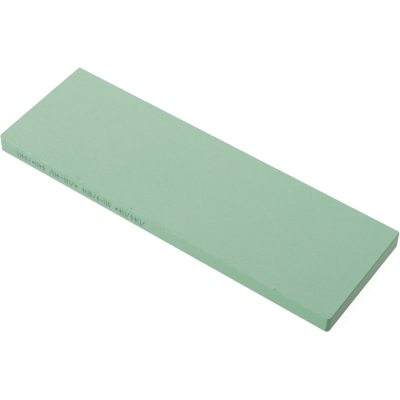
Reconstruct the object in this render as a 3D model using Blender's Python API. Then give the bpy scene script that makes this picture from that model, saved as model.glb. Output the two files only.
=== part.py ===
"""Sharpening whetstone: one flat block of fine bonded abrasive, lying on a wide face.

Metres, +Z up. The origin is the middle of the underside. +X runs along the stone, and the long side
that carries the maker's ink line on a real stone faces -Y.
"""

from math import cos, pi, radians, sin

import bmesh
import bpy

# Driving dimensions of the block.
LENGTH = 0.210
WIDTH = 0.070
THICKNESS = 0.010

# Each upright corner is rubbed round by hand, so no two have quite the same radius.
FRONT_RIGHT_RADIUS = 0.0020
BACK_RIGHT_RADIUS = 0.0019
BACK_LEFT_RADIUS = 0.0006
FRONT_LEFT_RADIUS = 0.0028

# Width of the small chamfer dressed along every edge of the two wide faces, on each of them.
ARRIS = 0.00025

ARC_STEPS = 10
SHARP_ANGLE = radians(30)

# Mint green of a fine resin-bonded stone, dull and slightly open.
STONE_COLOUR = (0.25, 0.43, 0.30, 1.0)
STONE_ROUGHNESS = 0.65
STONE_METALLIC = 0.0


def clear_scene():
    for leftover in list(bpy.data.objects):
        bpy.data.objects.remove(leftover, do_unlink=True)


def stone_material():
    material = bpy.data.materials.new("mint_stone")
    material.use_nodes = True
    shader = material.node_tree.nodes["Principled BSDF"]
    shader.inputs["Base Color"].default_value = STONE_COLOUR
    shader.inputs["Roughness"].default_value = STONE_ROUGHNESS
    shader.inputs["Metallic"].default_value = STONE_METALLIC
    return material


def outline():
    """The stone seen from above: four straight sides joined by four quarter circles, anticlockwise."""
    corners = (
        (1, -1, FRONT_RIGHT_RADIUS, -pi / 2),
        (1, 1, BACK_RIGHT_RADIUS, 0.0),
        (-1, 1, BACK_LEFT_RADIUS, pi / 2),
        (-1, -1, FRONT_LEFT_RADIUS, pi),
    )
    points = []
    for side_x, side_y, radius, start in corners:
        centre_x = side_x * (LENGTH / 2 - radius)
        centre_y = side_y * (WIDTH / 2 - radius)
        for step in range(ARC_STEPS + 1):
            angle = start + pi / 2 * step / ARC_STEPS
            points.append((centre_x + radius * cos(angle), centre_y + radius * sin(angle)))
    return points


def rim_edges(bm):
    """The edges that lie wholly in the top face or wholly in the underside."""
    return [edge for edge in bm.edges if abs(edge.verts[0].co.z - edge.verts[1].co.z) < ARRIS / 2]


def whetstone_block():
    bm = bmesh.new()
    underside = bm.faces.new([bm.verts.new((x, y, 0.0)) for x, y in outline()])
    raised = bmesh.ops.extrude_face_region(bm, geom=[underside], use_keep_orig=True)["geom"]
    top_verts = [item for item in raised if isinstance(item, bmesh.types.BMVert)]
    bmesh.ops.translate(bm, verts=top_verts, vec=(0.0, 0.0, THICKNESS))
    bmesh.ops.bevel(
        bm,
        geom=rim_edges(bm),
        offset=ARRIS,
        offset_type="OFFSET",
        segments=1,
        profile=0.5,
        affect="EDGES",
        clamp_overlap=True,
    )
    bmesh.ops.recalc_face_normals(bm, faces=bm.faces)
    mesh = bpy.data.meshes.new("whetstone_block")
    bm.to_mesh(mesh)
    bm.free()
    mesh.shade_smooth()
    mesh.set_sharp_from_angle(angle=SHARP_ANGLE)
    mesh.materials.append(stone_material())
    block = bpy.data.objects.new("whetstone_block", mesh)
    bpy.context.scene.collection.objects.link(block)
    return block


def main():
    clear_scene()
    whetstone_block()


main()
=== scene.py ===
"""A fine green whetstone, dressed and inked, lying on a pale studio floor.

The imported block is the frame. The whetstone body stands for it with dressed arrises, rubbed corners and a
few pits, and the ink line is printed on its front side.
"""

from math import cos, radians, sin

import bmesh
import bpy
from bpy.props import FloatProperty, FloatVectorProperty, PointerProperty
from bpy.types import Operator, Panel, PropertyGroup
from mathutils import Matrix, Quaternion, Vector


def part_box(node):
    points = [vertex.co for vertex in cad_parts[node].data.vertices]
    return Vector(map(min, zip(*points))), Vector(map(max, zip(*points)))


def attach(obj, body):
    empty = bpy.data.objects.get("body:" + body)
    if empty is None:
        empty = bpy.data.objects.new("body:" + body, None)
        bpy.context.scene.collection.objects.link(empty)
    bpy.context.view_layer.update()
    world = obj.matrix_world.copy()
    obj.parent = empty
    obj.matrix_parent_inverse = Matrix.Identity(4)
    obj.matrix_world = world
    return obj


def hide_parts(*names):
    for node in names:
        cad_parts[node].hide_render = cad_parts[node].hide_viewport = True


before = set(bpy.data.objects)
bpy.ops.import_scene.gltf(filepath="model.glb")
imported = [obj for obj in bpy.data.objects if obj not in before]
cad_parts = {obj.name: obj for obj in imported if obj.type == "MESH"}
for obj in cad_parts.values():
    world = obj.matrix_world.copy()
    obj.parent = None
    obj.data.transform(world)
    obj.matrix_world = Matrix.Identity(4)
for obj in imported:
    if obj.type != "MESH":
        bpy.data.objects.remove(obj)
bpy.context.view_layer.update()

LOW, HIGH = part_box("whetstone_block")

bl_info = {
    "name": "Sharpening Whetstone",
    "version": (1, 0, 0),
    "blender": (4, 5, 0),
    "location": "3D View > Sidebar > Whetstone",
    "description": "Builds a fine green whetstone with its ink line on a pale studio floor",
    "category": "Add Mesh",
}

MM = 0.001
LENGTH, WIDTH, THICKNESS = HIGH - LOW
CENTRE = (LOW + HIGH) / 2

# Block: how finely its faces are cut up, and the support loop that keeps them flat beside the arris.
CORNER_SEGMENTS = 12
ARRIS_SEGMENTS = 2
SUPPORT_WIDTH = 0.2 * MM
SLICE_PITCH = 2.5 * MM
SLICE_MARGIN = 3 * MM
ARRIS_WAVE = 6 * MM
TOLERANCE = 0.1 * MM
SHARP_ANGLE = radians(30)
SMOOTH_ANGLE = radians(35)

# Ink: rows and columns of dots in one cell, and how far a dot stands out. Its shoulder and the drop at its
# rim are shares of its radius and its height, and points beyond the rim share of its radius are its rim.
CELL_ROWS = 7
CELL_COLUMNS = 5
INK_RISE = 0.03 * MM
DOT_SIDES = 10
DOT_SHOULDER = 0.45
DOT_DROP = 0.4
DOT_RIM = 0.8

# Colour zones, each as two distances in from the block's limits: where its colour begins and where it
# is full.
FACE_SKIN = (0.06 * MM, 0.01 * MM)
SIDE_ZONE = (1.2 * MM, 0.4 * MM)
# The next zone is painted shade on the rounded upright corners at the right.
CORNER_SHADE_ZONE = (1.9 * MM, 1.1 * MM)
# The next zone is worn chalk with a painted highlight along the arrises.
WORN_AND_HIGHLIGHT_ZONE = (0.55 * MM, 0.15 * MM)
# The next two zones hold a painted shadow along the right end's arrises, on the end and on the face.
LIP_SHADE_ON_END = (0.6 * MM, 0.4 * MM)
LIP_SHADE_ON_FACE = (0.4 * MM, 0.2 * MM)

# Tones on the stone, as factors on red, green and blue. Dust and painted sheen lie thickest at the left end.
# The foot of an end is duller and less green, with a painted contact shadow along the floor. The ends carry
# painted shade towards the front side, and the right end's arrises a painted shadow.
DUST_AND_SHEEN_SHARE = 0.4
FOOT_BEGIN, FOOT_REACH = 1.0 * MM, 9.0 * MM
FOOT_TINT = (1.0, 0.85, 0.93, 1.0)
END_SHADE_REACH = 55 * MM
END_SHADE_TINT = (0.71, 0.80, 0.74, 1.0)
FOOT_SHADOW_FULL, FOOT_SHADOW_REACH = 0.2 * MM, 2.1 * MM
FOOT_SHADOW_TINT = (0.46, 0.48, 0.46, 1.0)
LIP_SHADE_TINT = (0.80, 0.80, 0.79, 1.0)

# Painted shade in the pits: the share of brightness left there, and the shares of a pit's radius between
# which the full brightness comes back.
PIT_SHADE = 0.5
PIT_RIM = (0.8, 1.3)

# Painted shade along the two long sides, darker and greener towards the right end and a little darker at the
# left end: the distances from the left end at which each is full and has faded, and its factors on red, green
# and blue.
SIDE_PAINTED_SHADE = (
    (210 * MM, 80 * MM, (0.83, 0.91, 0.84, 1.0)),
    (0 * MM, 25 * MM, (0.92, 0.92, 0.93, 1.0)),
)

# Pale rubbed arrises, partly chalky wear and partly a painted highlight: the range of mottle that breaks them
# up and the share of chalk at each end of it, and how far short of the right end they begin to fade and stop.
CHALK_AND_HIGHLIGHT_BREAKS = (0.35, 0.62, 0.5, 1.0)
CHALK_AND_HIGHLIGHT_FADE, CHALK_AND_HIGHLIGHT_STOP = 3 * MM, 1 * MM

# The range in which most of a pattern's values lie, wider for the grits and narrower for the soaked ink.
PATTERN_RANGE = (0.3, 0.7)
GRIT_RANGE = (0.25, 0.75)
SOAK_RANGE = (0.35, 0.7)

# Sizes of the stone's patterns, from broad patches down to single grits, and of the ink's.
CLOUDING_SIZE = 22 * MM
MOTTLE_SIZE = 4 * MM
GRAIN_SIZE = 0.7 * MM
GRIT_SIZE = 0.16 * MM
CURING_SIZE = 24 * MM
FIRING_SIZE = 19 * MM
LAPPING_SIZE = 0.35 * MM
SOAK_SIZE = 0.5 * MM
INK_GRAIN_SIZE = 0.12 * MM

# How far each pattern lightens and darkens its material, and the casts that curing and firing leave in
# patches.
CLOUDING_SWING = 0.01
MOTTLE_SWING = 0.015
GRAIN_SWING = 0.08
GRIT_SWING = 0.07
INK_SWING = 0.1
GREEN_CAST, GREY_CAST = (0.974, 1.005, 0.978, 1.0), (1.026, 0.995, 1.022, 1.0)
COOL_CAST, WARM_CAST = (0.988, 1.0, 1.010, 1.0), (1.012, 1.0, 0.990, 1.0)

# Roughness between the smoothest and the roughest grain, and what chalk and the narrow faces add to it.
STONE_ROUGHNESS = (0.52, 0.66)
CHALK_ROUGHNESS = 0.12
NARROW_ROUGHNESS = 0.04
INK_ROUGHNESS = (0.55, 0.75)

# Relief of each pattern: its height, and how strongly it turns the light.
LAPPING_RELIEF = (0.004 * MM, 0.5)
GRAIN_RELIEF = (0.02 * MM, 0.5)
GRIT_RELIEF = (0.012 * MM, 0.6)
INK_RELIEF = (0.01 * MM, 0.5)

# Pits left by coarse grains that broke out: distance along the stone from its left end, distance across
# it from its front side, and radius. Raggedness is a share of the radius.
PIT_RAGGEDNESS = 0.22
TOP_PITS = (
    (52.6 * MM, 2.1 * MM, 0.24 * MM),
    (54.7 * MM, 1.7 * MM, 0.33 * MM),
    (89.6 * MM, 1.2 * MM, 0.30 * MM),
    (178.3 * MM, 0.7 * MM, 0.32 * MM),
    (95.9 * MM, 68.6 * MM, 0.30 * MM),
)
BOTTOM_PITS = (
    (31.0 * MM, 1.4 * MM, 0.27 * MM),
    (118.0 * MM, 68.9 * MM, 0.33 * MM),
    (163.0 * MM, 40.0 * MM, 0.22 * MM),
    (74.0 * MM, 22.0 * MM, 0.20 * MM),
)


# ---------------------------------------------------------------- settings


class StoneSettings(PropertyGroup):
    """Sizes and colours of the block itself."""

    front_right_radius: FloatProperty(
        name="Front right corner",
        description="Radius of the upright corner at the front right",
        default=2.0 * MM, min=0.2 * MM, max=6 * MM, subtype="DISTANCE", unit="LENGTH",
    )
    back_right_radius: FloatProperty(
        name="Back right corner",
        description="Radius of the upright corner at the back right",
        default=1.9 * MM, min=0.2 * MM, max=6 * MM, subtype="DISTANCE", unit="LENGTH",
    )
    back_left_radius: FloatProperty(
        name="Back left corner",
        description="Radius of the upright corner at the back left",
        default=0.6 * MM, min=0.5 * MM, max=6 * MM, subtype="DISTANCE", unit="LENGTH",
    )
    front_left_radius: FloatProperty(
        name="Front left corner",
        description="Radius of the upright corner at the front left",
        default=2.8 * MM, min=0.2 * MM, max=6 * MM, subtype="DISTANCE", unit="LENGTH",
    )
    arris: FloatProperty(
        name="Arris",
        description="Width of the chamfer dressed along the edges of the wide faces",
        default=0.25 * MM, min=0.1 * MM, max=1.0 * MM, subtype="DISTANCE", unit="LENGTH",
    )
    arris_wander: FloatProperty(
        name="Arris wander",
        description="How far the hand-dressed arris wanders into the block",
        default=0.05 * MM, min=0.0, max=0.3 * MM, subtype="DISTANCE", unit="LENGTH",
    )
    colour: FloatVectorProperty(
        name="Stone colour",
        description="Colour of the lapped wide faces",
        default=(0.2465, 0.4215, 0.293, 1.0), size=4, min=0.0, max=1.0, subtype="COLOR",
    )
    # Partly the sides' own finish and partly painted light: lighter than the wide faces to match how light
    # falls on the sides.
    side_colour_and_light: FloatVectorProperty(
        name="Side colour",
        description="Colour of the long narrow sides",
        default=(0.266, 0.475, 0.323, 1.0), size=4, min=0.0, max=1.0, subtype="COLOR",
    )
    # Partly the ends' own finish and partly painted shade: darker than the wide faces to match how light
    # falls on the ends.
    end_colour_and_shade: FloatVectorProperty(
        name="End colour",
        description="Colour of the two ends",
        default=(0.226, 0.392, 0.249, 1.0), size=4, min=0.0, max=1.0, subtype="COLOR",
    )
    # Partly chalk and partly painted highlight: lighter than the wide faces so that the arrises stay bright
    # where they catch less light.
    chalk_and_highlight_colour: FloatVectorProperty(
        name="Chalk colour",
        description="Colour of the dry, rubbed arrises",
        default=(0.350, 0.540, 0.403, 1.0), size=4, min=0.0, max=1.0, subtype="COLOR",
    )
    # Dust and painted sheen: a greyer colour laid thickest over the left end, partly dust and partly the
    # sheen there.
    dust_and_sheen_colour: FloatVectorProperty(
        name="Dust colour",
        description="Colour of the dried slurry dust, which lies thickest at the left end",
        default=(0.259, 0.356, 0.279, 1.0), size=4, min=0.0, max=1.0, subtype="COLOR",
    )
    # Painted shade: the rounded upright corners at the right, darker and greener where they face away from
    # the light.
    corner_shade_colour: FloatVectorProperty(
        name="Grip colour",
        description="Colour of the upright corners at the right, darkened by wet fingers",
        default=(0.112, 0.285, 0.150, 1.0), size=4, min=0.0, max=1.0, subtype="COLOR",
    )


class InkSettings(PropertyGroup):
    """Sizes and colour of the dotted ink line."""

    start: FloatProperty(
        name="Start",
        description="Distance from the stone's left end to the first mark",
        default=13.6 * MM, min=4 * MM, max=100 * MM, subtype="DISTANCE", unit="LENGTH",
    )
    base_line: FloatProperty(
        name="Base line",
        description="Height of the lowest row of dots above the underside",
        default=2.9 * MM, min=1 * MM, max=5 * MM, subtype="DISTANCE", unit="LENGTH",
    )
    cell_pitch: FloatProperty(
        name="Cell pitch",
        description="Distance from one mark to the next",
        default=2.46 * MM, min=1 * MM, max=5 * MM, subtype="DISTANCE", unit="LENGTH",
    )
    column_pitch: FloatProperty(
        name="Column pitch",
        description="Distance between two dots side by side",
        default=0.40 * MM, min=0.2 * MM, max=1 * MM, subtype="DISTANCE", unit="LENGTH",
    )
    row_pitch: FloatProperty(
        name="Row pitch",
        description="Distance between two dots one above the other",
        default=0.61 * MM, min=0.2 * MM, max=1 * MM, subtype="DISTANCE", unit="LENGTH",
    )
    dot_radius: FloatProperty(
        name="Dot radius",
        description="Radius of one drop of ink",
        default=0.26 * MM, min=0.05 * MM, max=0.5 * MM, subtype="DISTANCE", unit="LENGTH",
    )
    colour: FloatVectorProperty(
        name="Ink colour",
        description="Colour of the ink soaked into the stone",
        default=(0.016, 0.042, 0.023, 1.0), size=4, min=0.0, max=1.0, subtype="COLOR",
    )
    faded_colour: FloatVectorProperty(
        name="Faded ink colour",
        description="Colour of the ink where the stone has drunk most of it",
        default=(0.048, 0.100, 0.060, 1.0), size=4, min=0.0, max=1.0, subtype="COLOR",
    )


class StageSettings(PropertyGroup):
    """Floor, light and camera."""

    floor_colour: FloatVectorProperty(
        name="Floor colour",
        description="Colour that the plain floor glows in",
        default=(0.95, 0.95, 0.95, 1.0), size=4, min=0.0, max=1.0, subtype="COLOR",
    )
    azimuth: FloatProperty(
        name="Azimuth",
        description="Angle of the camera round the stone, from straight in front",
        default=radians(33.65), subtype="ANGLE", unit="ROTATION",
    )
    elevation: FloatProperty(
        name="Elevation",
        description="Angle of the camera above the floor",
        default=radians(47.80), subtype="ANGLE", unit="ROTATION",
    )
    roll: FloatProperty(
        name="Roll",
        description="Turn of the camera about its own line of sight",
        default=radians(2.11), subtype="ANGLE", unit="ROTATION",
    )
    distance: FloatProperty(
        name="Distance",
        description="Distance from the camera to the point it looks at",
        default=0.6794, min=0.1, max=5.0, subtype="DISTANCE", unit="LENGTH",
    )
    lens: FloatProperty(
        name="Lens",
        description="Focal length in millimetres on a 36 mm sensor",
        default=115.41, min=20.0, max=300.0,
    )
    aim_x: FloatProperty(
        name="Aim along",
        description="How far along the stone from its middle the camera looks",
        default=4.75 * MM, subtype="DISTANCE", unit="LENGTH",
    )
    aim_y: FloatProperty(
        name="Aim across",
        description="How far across the stone from its middle the camera looks",
        default=-0.45 * MM, subtype="DISTANCE", unit="LENGTH",
    )


# ---------------------------------------------------------------- modelling helpers


def start_clean():
    """Leaves object mode with nothing selected."""
    active = bpy.context.view_layer.objects.active
    if active is not None and active.mode != "OBJECT":
        bpy.ops.object.mode_set(mode="OBJECT")
    bpy.ops.object.select_all(action="DESELECT")


def make_active(piece):
    start_clean()
    piece.select_set(True)
    bpy.context.view_layer.objects.active = piece


def select_where(kind, test):
    """In edit mode, selects the items of one kind that pass the test, and nothing else."""
    bpy.ops.mesh.select_mode(type=kind)
    bpy.ops.mesh.select_all(action="DESELECT")
    mesh = bpy.context.object.data
    bm = bmesh.from_edit_mesh(mesh)
    items = {"VERT": bm.verts, "EDGE": bm.edges, "FACE": bm.faces}[kind]
    for item in items:
        if test(item):
            item.select_set(True)
    bm.select_flush_mode()
    bmesh.update_edit_mesh(mesh)


def apply_place(piece):
    make_active(piece)
    bpy.ops.object.transform_apply(location=True, rotation=True, scale=True)


def join(pieces, name):
    """Joins the pieces into the first one."""
    start_clean()
    for piece in pieces:
        piece.select_set(True)
    bpy.context.view_layer.objects.active = pieces[0]
    if len(pieces) > 1:
        bpy.ops.object.join()
    joined = bpy.context.object
    joined.name = name
    joined.data.name = name
    return joined


def copy_to(piece, offset):
    """A copy of the piece with its own mesh, moved by the offset."""
    make_active(piece)
    bpy.ops.object.duplicate(linked=False)
    bpy.ops.transform.translate(value=offset)
    return bpy.context.object


# ---------------------------------------------------------------- node helpers


def maths(tree, operation, first, second=None):
    """The output of a maths node fed by sockets or by plain numbers."""
    node = tree.nodes.new("ShaderNodeMath")
    node.operation = operation
    for index, value in enumerate((first, second)):
        if value is None:
            continue
        if isinstance(value, (int, float)):
            node.inputs[index].default_value = value
        else:
            tree.links.new(value, node.inputs[index])
    return node.outputs[0]


def noise(tree, place, size, detail=2.0, roughness=0.5, stretch=(1.0, 1.0, 1.0)):
    """Noise whose features measure about size metres, stretched along the axes as given."""
    mapping = tree.nodes.new("ShaderNodeMapping")
    mapping.inputs["Scale"].default_value = [1.0 / (size * s) for s in stretch]
    tree.links.new(place, mapping.inputs["Vector"])
    node = tree.nodes.new("ShaderNodeTexNoise")
    node.inputs["Scale"].default_value = 1.0
    node.inputs["Detail"].default_value = detail
    node.inputs["Roughness"].default_value = roughness
    tree.links.new(mapping.outputs["Vector"], node.inputs["Vector"])
    return node.outputs["Fac"]


def remap(tree, value, low, high, to_low=0.0, to_high=1.0, smooth=False):
    """The value carried from one range to another, and held at the ends of it."""
    node = tree.nodes.new("ShaderNodeMapRange")
    node.interpolation_type = "SMOOTHSTEP" if smooth else "LINEAR"
    node.clamp = True
    tree.links.new(value, node.inputs["Value"])
    for name, number in (("From Min", low), ("From Max", high), ("To Min", to_low), ("To Max", to_high)):
        node.inputs[name].default_value = number
    return node.outputs["Result"]


def mix_colour(tree, factor, first, second, blend="MIX"):
    """Two colours mixed, or multiplied, by a factor; each may be a socket or a plain value."""
    node = tree.nodes.new("ShaderNodeMix")
    node.data_type = "RGBA"
    node.blend_type = blend
    node.clamp_result = False
    for socket, value in ((node.inputs[0], factor), (node.inputs[6], first), (node.inputs[7], second)):
        if isinstance(value, bpy.types.NodeSocket):
            tree.links.new(value, socket)
        else:
            socket.default_value = value
    return node.outputs[2]


def within(tree, depth, zone, smooth=False):
    """Rises from 0 to 1 across a colour zone, where depth is 0 at the block's limit and negative inside."""
    begin, full = zone
    return remap(tree, depth, -begin, -full, smooth=smooth)


def speckle(tree, pattern, swing, span=PATTERN_RANGE):
    """A factor that lightens and darkens by the swing as a pattern goes from end to end of its range."""
    return remap(tree, pattern, *span, 1.0 - swing, 1.0 + swing)


def tint(tree, colour, amount):
    """The colour made lighter or darker by a factor socket."""
    node = tree.nodes.new("ShaderNodeVectorMath")
    node.operation = "SCALE"
    tree.links.new(colour, node.inputs[0])
    tree.links.new(amount, node.inputs["Scale"])
    return node.outputs[0]


def bump(tree, height, distance, strength, normal=None):
    """Relief from a pattern of the given height, laid over the normal of a coarser one if there is one."""
    node = tree.nodes.new("ShaderNodeBump")
    node.inputs["Distance"].default_value = distance
    node.inputs["Strength"].default_value = strength
    tree.links.new(height, node.inputs["Height"])
    if normal is not None:
        tree.links.new(normal, node.inputs["Normal"])
    return node.outputs["Normal"]


def new_material(name):
    """A material with its node tree and its one shader."""
    material = bpy.data.materials.new(name)
    material.use_nodes = True
    return material, material.node_tree, material.node_tree.nodes["Principled BSDF"]


# ---------------------------------------------------------------- stone


def edge_nearness(tree, place):
    """A point's nearness to an edge of the block and its depth inside each pair of faces, 0 or negative."""
    parts = tree.nodes.new("ShaderNodeSeparateXYZ")
    tree.links.new(place, parts.inputs[0])
    depths = []
    for axis in range(3):
        centred = maths(tree, "SUBTRACT", parts.outputs[axis], CENTRE[axis])
        span = maths(tree, "ABSOLUTE", centred)
        depths.append(maths(tree, "SUBTRACT", span, (HIGH[axis] - LOW[axis]) / 2))
    least = maths(tree, "MINIMUM", depths[0], depths[1])
    most = maths(tree, "MAXIMUM", depths[0], depths[1])
    nearness = maths(tree, "MAXIMUM", least, maths(tree, "MINIMUM", most, depths[2]))
    return parts, nearness, depths


def end_tone(tree, settings, across, up):
    """Colour of an end: duller and less green towards its foot, with painted shade towards the front side
    and a painted contact shadow along the floor.
    """
    foot = remap(tree, up, LOW.z + FOOT_BEGIN, LOW.z + FOOT_REACH, 1.0, 0.0)
    dull_foot_colour = [channel * dulling for channel, dulling in zip(settings.end_colour_and_shade, FOOT_TINT)]
    end = mix_colour(tree, foot, settings.end_colour_and_shade, dull_foot_colour)
    # Painted shade on the ends, deepest at the front side.
    wet = remap(tree, across, LOW.y, LOW.y + END_SHADE_REACH, 1.0, 0.0)
    end = mix_colour(tree, wet, end, END_SHADE_TINT, "MULTIPLY")
    # Painted contact shadow along the foot of each end.
    foot_shadow = remap(tree, up, LOW.z + FOOT_SHADOW_FULL, LOW.z + FOOT_SHADOW_REACH, 1.0, 0.0, smooth=True)
    return mix_colour(tree, foot_shadow, end, FOOT_SHADOW_TINT, "MULTIPLY")


def stone_colour(tree, settings, parts, depths, chalk_and_highlight):
    """Face, side and end colours, the sides and ends partly painted light and shade, under dust and painted
    sheen, painted shade on the right corners and a painted shadow on the right end's arrises, with chalk and
    painted highlight over them all.
    """
    along, across, up = parts.outputs[0], parts.outputs[1], parts.outputs[2]
    below_face = maths(tree, "SUBTRACT", 1.0, within(tree, depths[2], FACE_SKIN))
    on_side = maths(tree, "MULTIPLY", below_face, within(tree, depths[1], SIDE_ZONE))
    on_end = maths(tree, "MULTIPLY", below_face, within(tree, depths[0], SIDE_ZONE))
    colour = mix_colour(tree, on_side, settings.colour, settings.side_colour_and_light)
    # Painted shade along the long sides.
    for full, faded, side_shade in SIDE_PAINTED_SHADE:
        share = maths(tree, "MULTIPLY", remap(tree, along, LOW.x + faded, LOW.x + full), on_side)
        colour = mix_colour(tree, share, colour, side_shade, "MULTIPLY")
    colour = mix_colour(tree, on_end, colour, end_tone(tree, settings, across, up))

    # Dust and painted sheen, strongest at the left end.
    dust_and_sheen = remap(tree, along, LOW.x, HIGH.x, DUST_AND_SHEEN_SHARE, 0.0)
    colour = mix_colour(tree, dust_and_sheen, colour, settings.dust_and_sheen_colour)

    upright = maths(tree, "MINIMUM", depths[0], depths[1])
    at_right = maths(tree, "GREATER_THAN", along, CENTRE.x)
    # Painted shade on the upright corners at the right.
    corner_shade = maths(tree, "MULTIPLY", within(tree, upright, CORNER_SHADE_ZONE, smooth=True), at_right)
    corner_shade = maths(tree, "MULTIPLY", corner_shade, below_face)
    colour = mix_colour(tree, corner_shade, colour, settings.corner_shade_colour)

    # Painted shadow along the right end's arrises.
    lip_shade = maths(tree, "MULTIPLY", within(tree, depths[0], LIP_SHADE_ON_END), at_right)
    lip_shade = maths(tree, "MULTIPLY", lip_shade, within(tree, depths[2], LIP_SHADE_ON_FACE))
    colour = mix_colour(tree, lip_shade, colour, LIP_SHADE_TINT, "MULTIPLY")
    return mix_colour(tree, chalk_and_highlight, colour, settings.chalk_and_highlight_colour), below_face


def pit_shade(tree, place):
    """How much brightness is left at a point: less inside a pit, where painted shade darkens it."""
    shade = 1.0
    for pits, face_z in ((TOP_PITS, HIGH.z), (BOTTOM_PITS, LOW.z)):
        for along, across, radius in pits:
            gap = tree.nodes.new("ShaderNodeVectorMath")
            gap.operation = "DISTANCE"
            tree.links.new(place, gap.inputs[0])
            gap.inputs[1].default_value = (LOW.x + along, LOW.y + across, face_z)
            dark_edge, clear_edge = (radius * share for share in PIT_RIM)
            here = remap(tree, gap.outputs["Value"], dark_edge, clear_edge, PIT_SHADE, 1.0)
            shade = maths(tree, "MINIMUM", here, shade)
    return shade


def stone_material(settings):
    """Fine bonded grit: mottled green body, gritty speckle, dry pale arrises with a painted highlight, faint
    lapping marks.
    """
    material, tree, shader = new_material("green_bonded_grit")
    place = tree.nodes.new("ShaderNodeTexCoord").outputs["Object"]

    clouding = noise(tree, place, CLOUDING_SIZE, detail=3.0, roughness=0.6)
    mottle = noise(tree, place, MOTTLE_SIZE, detail=3.0, roughness=0.55)
    grain = noise(tree, place, GRAIN_SIZE, detail=3.0, roughness=0.7)
    grit = noise(tree, place, GRIT_SIZE, detail=2.0, roughness=0.6)
    curing = noise(tree, place, CURING_SIZE, detail=5.0, roughness=0.75)
    firing = noise(tree, place, FIRING_SIZE, detail=3.0, roughness=0.6)
    lapping = noise(tree, place, LAPPING_SIZE, detail=2.0, stretch=(40.0, 1.0, 1.0))

    parts, nearness, depths = edge_nearness(tree, place)
    # Pale arrises, partly chalky wear and partly a painted highlight, fading short of the right end.
    chalk_and_highlight = within(tree, nearness, WORN_AND_HIGHLIGHT_ZONE, smooth=True)
    chalk_and_highlight = maths(tree, "MULTIPLY", chalk_and_highlight, remap(tree, mottle, *CHALK_AND_HIGHLIGHT_BREAKS))
    unfaded = remap(tree, parts.outputs[0], HIGH.x - CHALK_AND_HIGHLIGHT_FADE, HIGH.x - CHALK_AND_HIGHLIGHT_STOP, 1.0, 0.0)
    chalk_and_highlight = maths(tree, "MULTIPLY", chalk_and_highlight, unfaded)
    colour, below_face = stone_colour(tree, settings, parts, depths, chalk_and_highlight)

    shade = speckle(tree, grit, GRIT_SWING, GRIT_RANGE)
    for pattern, swing in ((clouding, CLOUDING_SWING), (mottle, MOTTLE_SWING), (grain, GRAIN_SWING)):
        shade = maths(tree, "MULTIPLY", shade, speckle(tree, pattern, swing))
    # Painted shade in the pits.
    shade = maths(tree, "MULTIPLY", shade, pit_shade(tree, place))
    hue = mix_colour(tree, remap(tree, curing, *PATTERN_RANGE), GREEN_CAST, GREY_CAST)
    warmth = mix_colour(tree, remap(tree, firing, *PATTERN_RANGE), COOL_CAST, WARM_CAST)
    colour = mix_colour(tree, 1.0, colour, mix_colour(tree, 1.0, hue, warmth, "MULTIPLY"), "MULTIPLY")
    tree.links.new(tint(tree, colour, shade), shader.inputs["Base Color"])

    rough = remap(tree, grain, *PATTERN_RANGE, *STONE_ROUGHNESS)
    rough = maths(tree, "ADD", rough, maths(tree, "MULTIPLY", chalk_and_highlight, CHALK_ROUGHNESS))
    rough = maths(tree, "ADD", rough, maths(tree, "MULTIPLY", below_face, NARROW_ROUGHNESS))
    tree.links.new(rough, shader.inputs["Roughness"])

    lapped = bump(tree, lapping, *LAPPING_RELIEF)
    coarse = bump(tree, grain, *GRAIN_RELIEF, lapped)
    tree.links.new(bump(tree, grit, *GRIT_RELIEF, coarse), shader.inputs["Normal"])
    shader.inputs["Specular IOR Level"].default_value = 0.45
    return material


def cut_slices(axis, low, high):
    """Cuts the block across one axis at an even pitch, so that its arris can wander between the cuts."""
    count = round((high - low) / SLICE_PITCH)
    normal = Vector((0.0, 0.0, 0.0))
    normal[axis] = 1.0
    for index in range(1, count):
        point = CENTRE.copy()
        point[axis] = low + (high - low) * index / count
        bpy.ops.mesh.select_all(action="SELECT")
        bpy.ops.mesh.bisect(plane_co=point, plane_no=normal, use_fill=False)


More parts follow.
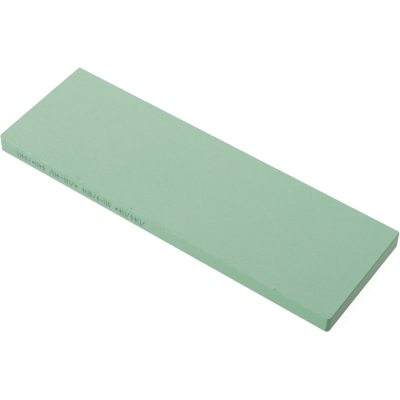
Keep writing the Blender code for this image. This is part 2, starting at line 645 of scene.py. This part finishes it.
def shape_block(settings):
    """Cube to block: rounded upright corners, dressed arrises with softened limits, then fine slices."""
    start_clean()
    front = LOW.y + INK_RISE
    size = (LENGTH, HIGH.y - front, THICKNESS)
    middle = (CENTRE.x, (front + HIGH.y) / 2, CENTRE.z)
    bpy.ops.mesh.primitive_cube_add(size=1.0, location=middle, scale=size)
    block = bpy.context.object
    block.name = block.data.name = "whetstone_body"
    apply_place(block)
    bpy.ops.object.mode_set(mode="EDIT")

    corners = (
        (1, -1, settings.front_right_radius),
        (1, 1, settings.back_right_radius),
        (-1, 1, settings.back_left_radius),
        (-1, -1, settings.front_left_radius),
    )
    for side_x, side_y, radius in corners:
        def at_corner(edge):
            return all(
                (vert.co.x - CENTRE.x) * side_x > LENGTH / 2 - TOLERANCE
                and (vert.co.y - CENTRE.y) * side_y > WIDTH / 2 - TOLERANCE
                for vert in edge.verts
            )

        select_where("EDGE", at_corner)
        bpy.ops.mesh.bevel(
            offset=radius, offset_type="OFFSET", segments=CORNER_SEGMENTS, profile=0.5, affect="EDGES"
        )

    select_where("EDGE", lambda edge: abs(edge.verts[0].co.z - edge.verts[1].co.z) < THICKNESS / 4)
    bpy.ops.mesh.bevel(offset=settings.arris, offset_type="OFFSET", segments=1, affect="EDGES")
    bpy.ops.mesh.select_all(action="DESELECT")
    bpy.ops.mesh.edges_select_sharp(sharpness=SHARP_ANGLE)
    bpy.ops.mesh.bevel(
        offset=settings.arris / 4, offset_type="OFFSET", segments=ARRIS_SEGMENTS, affect="EDGES"
    )

    for test in (
        lambda face: face.normal.z > 0.999,
        lambda face: face.normal.z < -0.999,
        lambda face: abs(face.normal.z) < 0.001,
    ):
        select_where("FACE", test)
        bpy.ops.mesh.inset(thickness=SUPPORT_WIDTH, use_boundary=True, use_even_offset=True)

    for axis in (0, 1):
        cut_slices(axis, LOW[axis] + SLICE_MARGIN, HIGH[axis] - SLICE_MARGIN)
    bpy.ops.object.mode_set(mode="OBJECT")
    return block


def wander_arris(block, settings):
    """Lets the dressed arrises wander a little into the block, as a hand-held rubbing stone leaves them."""
    make_active(block)
    bpy.ops.object.mode_set(mode="EDIT")

    def on_arris(vert):
        below_face = THICKNESS / 2 - abs(vert.co.z - CENTRE.z)
        return TOLERANCE / 10 < below_face < settings.arris - TOLERANCE / 10

    select_where("VERT", on_arris)
    bpy.ops.object.vertex_group_add()
    block.vertex_groups.active.name = "arris"
    bpy.ops.object.vertex_group_assign()
    bpy.ops.object.mode_set(mode="OBJECT")

    unevenness = bpy.data.textures.new("arris_unevenness", "CLOUDS")
    unevenness.noise_scale = ARRIS_WAVE
    unevenness.noise_depth = 2
    wander = block.modifiers.new("arris_wander", "DISPLACE")
    wander.texture = unevenness
    wander.texture_coords = "LOCAL"
    wander.vertex_group = "arris"
    wander.direction = "NORMAL"
    wander.mid_level = 1.0
    wander.strength = settings.arris_wander
    bpy.ops.object.modifier_apply(modifier=wander.name)


def pit_cutter(along, across, radius, face_z, seed):
    """A small ragged lump that, taken away from the block, leaves one pit."""
    start_clean()
    place = (LOW.x + along, LOW.y + across, face_z)
    bpy.ops.mesh.primitive_ico_sphere_add(subdivisions=3, radius=radius, location=place)
    lump = bpy.context.object
    bpy.ops.object.mode_set(mode="EDIT")
    bpy.ops.mesh.select_all(action="SELECT")
    bpy.ops.transform.vertex_random(offset=radius * PIT_RAGGEDNESS, uniform=0.3, normal=0.5, seed=seed)
    bpy.ops.mesh.vertices_smooth(factor=0.4)
    bpy.ops.object.mode_set(mode="OBJECT")
    apply_place(lump)
    return lump


def cut_pits(block):
    """Takes every pit out of the block at once."""
    lumps = []
    for pits, face_z in ((TOP_PITS, HIGH.z), (BOTTOM_PITS, LOW.z)):
        for along, across, radius in pits:
            lumps.append(pit_cutter(along, across, radius, face_z, len(lumps)))
    cutter = join(lumps, "pit_cutter")
    make_active(block)
    hollow = block.modifiers.new("pits", "BOOLEAN")
    hollow.operation = "DIFFERENCE"
    hollow.solver = "EXACT"
    hollow.object = cutter
    bpy.ops.object.modifier_apply(modifier=hollow.name)
    bpy.data.objects.remove(cutter, do_unlink=True)
    if not block.data.polygons:
        raise RuntimeError("the pits took the whole block away: a corner is too sharp for its support loop")


class WHETSTONE_OT_body(Operator):
    """Shape the stone itself: block, rubbed corners, dressed arrises and pits"""

    bl_idname = "whetstone.body"
    bl_label = "Whetstone Body"
    bl_options = {"REGISTER", "UNDO"}

    def execute(self, context):
        settings = context.scene.whetstone_stone
        block = shape_block(settings)
        wander_arris(block, settings)
        cut_pits(block)
        make_active(block)
        bpy.ops.object.shade_smooth_by_angle(angle=SMOOTH_ANGLE)
        block.data.materials.clear()
        block.data.materials.append(stone_material(settings))
        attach(block, "root")
        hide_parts("whetstone_block")
        return {"FINISHED"}


# ---------------------------------------------------------------- ink line


# Plain geometric marks, each a rule that says which dots of its cell are printed.
MARKS = {
    "posts": lambda column, row: column in (0, 4),
    "cross": lambda column, row: column == 2 or row == 3,
    "slope": lambda column, row: abs(row - 1.5 * column) < 1,
    "diamond": lambda column, row: abs(1.5 * abs(column - 2) + abs(row - 3) - 3) < 0.6,
    "block": lambda column, row: 2 <= row <= 4 and 0 < column < 4,
    "dash": lambda column, row: row == 3,
}
INK_GROUPS = (
    "posts cross diamond slope block posts cross diamond",
    "slope posts cross dash diamond posts slope block",
    "cross posts diamond slope cross dash posts diamond",
    "block cross posts slope diamond cross posts slope",
)


def ink_material(settings):
    """Ink soaked unevenly into the grit: dull, with darker and paler patches and a fine speckle."""
    material, tree, shader = new_material("soaked_ink")
    place = tree.nodes.new("ShaderNodeTexCoord").outputs["Object"]
    soak = noise(tree, place, SOAK_SIZE, detail=3.0, roughness=0.6)
    grain = noise(tree, place, INK_GRAIN_SIZE, detail=2.0)
    colour = mix_colour(tree, remap(tree, soak, *SOAK_RANGE), settings.colour, settings.faded_colour)
    tree.links.new(tint(tree, colour, speckle(tree, grain, INK_SWING)), shader.inputs["Base Color"])
    tree.links.new(remap(tree, grain, *PATTERN_RANGE, *INK_ROUGHNESS), shader.inputs["Roughness"])
    tree.links.new(bump(tree, grain, *INK_RELIEF), shader.inputs["Normal"])
    return material


def ink_dot(settings):
    """One drop of ink on the front side: a thin round pad with a domed face."""
    start_clean()
    start = (LOW.x + settings.start, LOW.y + INK_RISE / 2, LOW.z + settings.base_line)
    bpy.ops.mesh.primitive_cylinder_add(
        vertices=DOT_SIDES,
        radius=settings.dot_radius,
        depth=INK_RISE,
        location=start,
        rotation=(radians(90), 0.0, 0.0),
    )
    dot = bpy.context.object
    apply_place(dot)
    bpy.ops.object.mode_set(mode="EDIT")
    select_where("FACE", lambda face: face.normal.y < -0.9)
    bpy.ops.mesh.inset(thickness=settings.dot_radius * DOT_SHOULDER)
    select_where("VERT", lambda vert: vert.co.y < start[1] and is_rim(vert, start, settings.dot_radius))
    bpy.ops.transform.translate(value=(0.0, INK_RISE * DOT_DROP, 0.0))
    bpy.ops.object.mode_set(mode="OBJECT")
    return dot


def is_rim(vert, middle, radius):
    """Whether a point of the dot lies on its outline and not on its flat middle."""
    return (vert.co.x - middle[0]) ** 2 + (vert.co.z - middle[2]) ** 2 > (DOT_RIM * radius) ** 2


def ink_cell(dot, rule, settings):
    """One mark, made of copies of the dot on the cell's rows and columns."""
    dots = []
    for column in range(CELL_COLUMNS):
        for row in range(CELL_ROWS):
            if rule(column, row):
                dots.append(copy_to(dot, (column * settings.column_pitch, 0.0, row * settings.row_pitch)))
    return join(dots, "ink_cell")


class WHETSTONE_OT_ink(Operator):
    """Print the dotted ink line on the front side, in plain geometric marks"""

    bl_idname = "whetstone.ink"
    bl_label = "Ink Line"
    bl_options = {"REGISTER", "UNDO"}

    def execute(self, context):
        settings = context.scene.whetstone_ink
        dot = ink_dot(settings)
        cells = {name: ink_cell(dot, rule, settings) for name, rule in MARKS.items()}
        marks = []
        place = 0
        for group in INK_GROUPS:
            for name in group.split():
                marks.append(copy_to(cells[name], (place * settings.cell_pitch, 0.0, 0.0)))
                place += 1
            place += 1
        for original in (dot, *cells.values()):
            bpy.data.objects.remove(original, do_unlink=True)
        line = join(marks, "ink_line")
        apply_place(line)
        bpy.ops.object.shade_smooth_by_angle(angle=SMOOTH_ANGLE)
        line.data.materials.clear()
        line.data.materials.append(ink_material(settings))
        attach(line, "root")
        return {"FINISHED"}


# ---------------------------------------------------------------- stage


# Soft boxes: name, azimuth and elevation in degrees, distance and side in metres, power in watts.
SOFT_BOXES = (
    ("far_back_box", 217.0, 42.0, 1.20, 0.90, 10.9),
    ("far_left_box", 285.0, 25.0, 1.10, 0.80, 2.6),
    ("far_front_box", 325.0, 30.0, 1.10, 0.80, 1.1),
    ("back_box", 208.0, 42.0, 0.50, 0.35, 0.51),
    ("front_left_box", 325.0, 25.0, 0.50, 0.30, 1.00),
    ("low_right_box", 138.0, 12.0, 0.27, 0.09, 0.10),
)
WORLD_STRENGTH = 0.3

# Floor: a dull grey body under a steady pale glow, so that it reads white and the stone's shadow stays faint.
FLOOR_BODY = (0.18, 0.18, 0.18, 1.0)
FLOOR_GLOW = 0.96
FLOOR_SIZE = 8.0
FLOOR_GAP = 0.1 * MM


def floor_material(settings):
    """Plain, dull and glowing a little."""
    material, tree, shader = new_material("pale_floor")
    shader.inputs["Base Color"].default_value = FLOOR_BODY
    shader.inputs["Roughness"].default_value = 0.9
    shader.inputs["Specular IOR Level"].default_value = 0.2
    shader.inputs["Emission Color"].default_value = settings.floor_colour
    shader.inputs["Emission Strength"].default_value = FLOOR_GLOW
    return material


def direction(azimuth, elevation):
    """Unit vector from the stone towards a place round it; azimuth 0 is straight in front."""
    return Vector((sin(azimuth) * cos(elevation), -cos(azimuth) * cos(elevation), sin(elevation)))


def add_soft_box(name, azimuth, elevation, distance, side, power):
    """A square light that faces the middle of the stone and isn't seen itself."""
    towards = direction(radians(azimuth), radians(elevation))
    bpy.ops.object.light_add(type="AREA", location=CENTRE + towards * distance)
    lamp = bpy.context.object
    lamp.name = lamp.data.name = name
    lamp.data.shape = "SQUARE"
    lamp.data.size = side
    lamp.data.energy = power
    lamp.visible_camera = False
    lamp.rotation_euler = towards.to_track_quat("Z", "Y").to_euler()


def add_camera(settings):
    """The camera, turned about its own line of sight by the roll."""
    towards = direction(settings.azimuth, settings.elevation)
    aim = Vector((settings.aim_x, settings.aim_y, 0.0))
    bpy.ops.object.camera_add(location=aim + towards * settings.distance)
    camera = bpy.context.object
    camera.name = camera.data.name = "studio_camera"
    camera.rotation_mode = "QUATERNION"
    camera.rotation_quaternion = towards.to_track_quat("Z", "Y") @ Quaternion((0, 0, 1), settings.roll)
    camera.data.lens = settings.lens
    camera.data.sensor_width = 36.0
    camera.data.clip_start = 0.01
    bpy.context.scene.camera = camera


class WHETSTONE_OT_stage(Operator):
    """Lay the pale floor and set the soft light and the camera"""

    bl_idname = "whetstone.stage"
    bl_label = "Studio Stage"
    bl_options = {"REGISTER", "UNDO"}

    def execute(self, context):
        settings = context.scene.whetstone_stage
        start_clean()
        bpy.ops.mesh.primitive_plane_add(size=FLOOR_SIZE, location=(0.0, 0.0, LOW.z - FLOOR_GAP))
        floor = bpy.context.object
        floor.name = floor.data.name = "floor"
        floor.data.materials.append(floor_material(settings))
        for box in SOFT_BOXES:
            add_soft_box(*box)
        add_camera(settings)

        world = bpy.data.worlds.new("studio_air")
        world.use_nodes = True
        air = world.node_tree.nodes["Background"]
        air.inputs["Color"].default_value = (1.0, 1.0, 1.0, 1.0)
        air.inputs["Strength"].default_value = WORLD_STRENGTH
        context.scene.world = world
        context.scene.view_settings.view_transform = "Standard"
        return {"FINISHED"}


# ---------------------------------------------------------------- panel and registration


class WHETSTONE_PT_build(Panel):
    """Lists the pieces and their settings"""

    bl_label = "Sharpening Whetstone"
    bl_idname = "WHETSTONE_PT_build"
    bl_space_type = "VIEW_3D"
    bl_region_type = "UI"
    bl_category = "Whetstone"

    def draw(self, context):
        for heading, settings, operator in (
            ("Stone", context.scene.whetstone_stone, WHETSTONE_OT_body),
            ("Ink", context.scene.whetstone_ink, WHETSTONE_OT_ink),
            ("Stage", context.scene.whetstone_stage, WHETSTONE_OT_stage),
        ):
            box = self.layout.box()
            box.label(text=heading)
            for name in settings.__annotations__:
                box.prop(settings, name)
            box.operator(operator.bl_idname)


CLASSES = (
    StoneSettings,
    InkSettings,
    StageSettings,
    WHETSTONE_OT_body,
    WHETSTONE_OT_ink,
    WHETSTONE_OT_stage,
    WHETSTONE_PT_build,
)


def register():
    for cls in CLASSES:
        bpy.utils.register_class(cls)
    bpy.types.Scene.whetstone_stone = PointerProperty(type=StoneSettings)
    bpy.types.Scene.whetstone_ink = PointerProperty(type=InkSettings)
    bpy.types.Scene.whetstone_stage = PointerProperty(type=StageSettings)


def unregister():
    del bpy.types.Scene.whetstone_stage
    del bpy.types.Scene.whetstone_ink
    del bpy.types.Scene.whetstone_stone
    for cls in reversed(CLASSES):
        bpy.utils.unregister_class(cls)


def main():
    """Builds the stone, its ink line and the stage."""
    register()
    bpy.ops.whetstone.body()
    bpy.ops.whetstone.ink()
    bpy.ops.whetstone.stage()


if __name__ == "__main__":
    main()
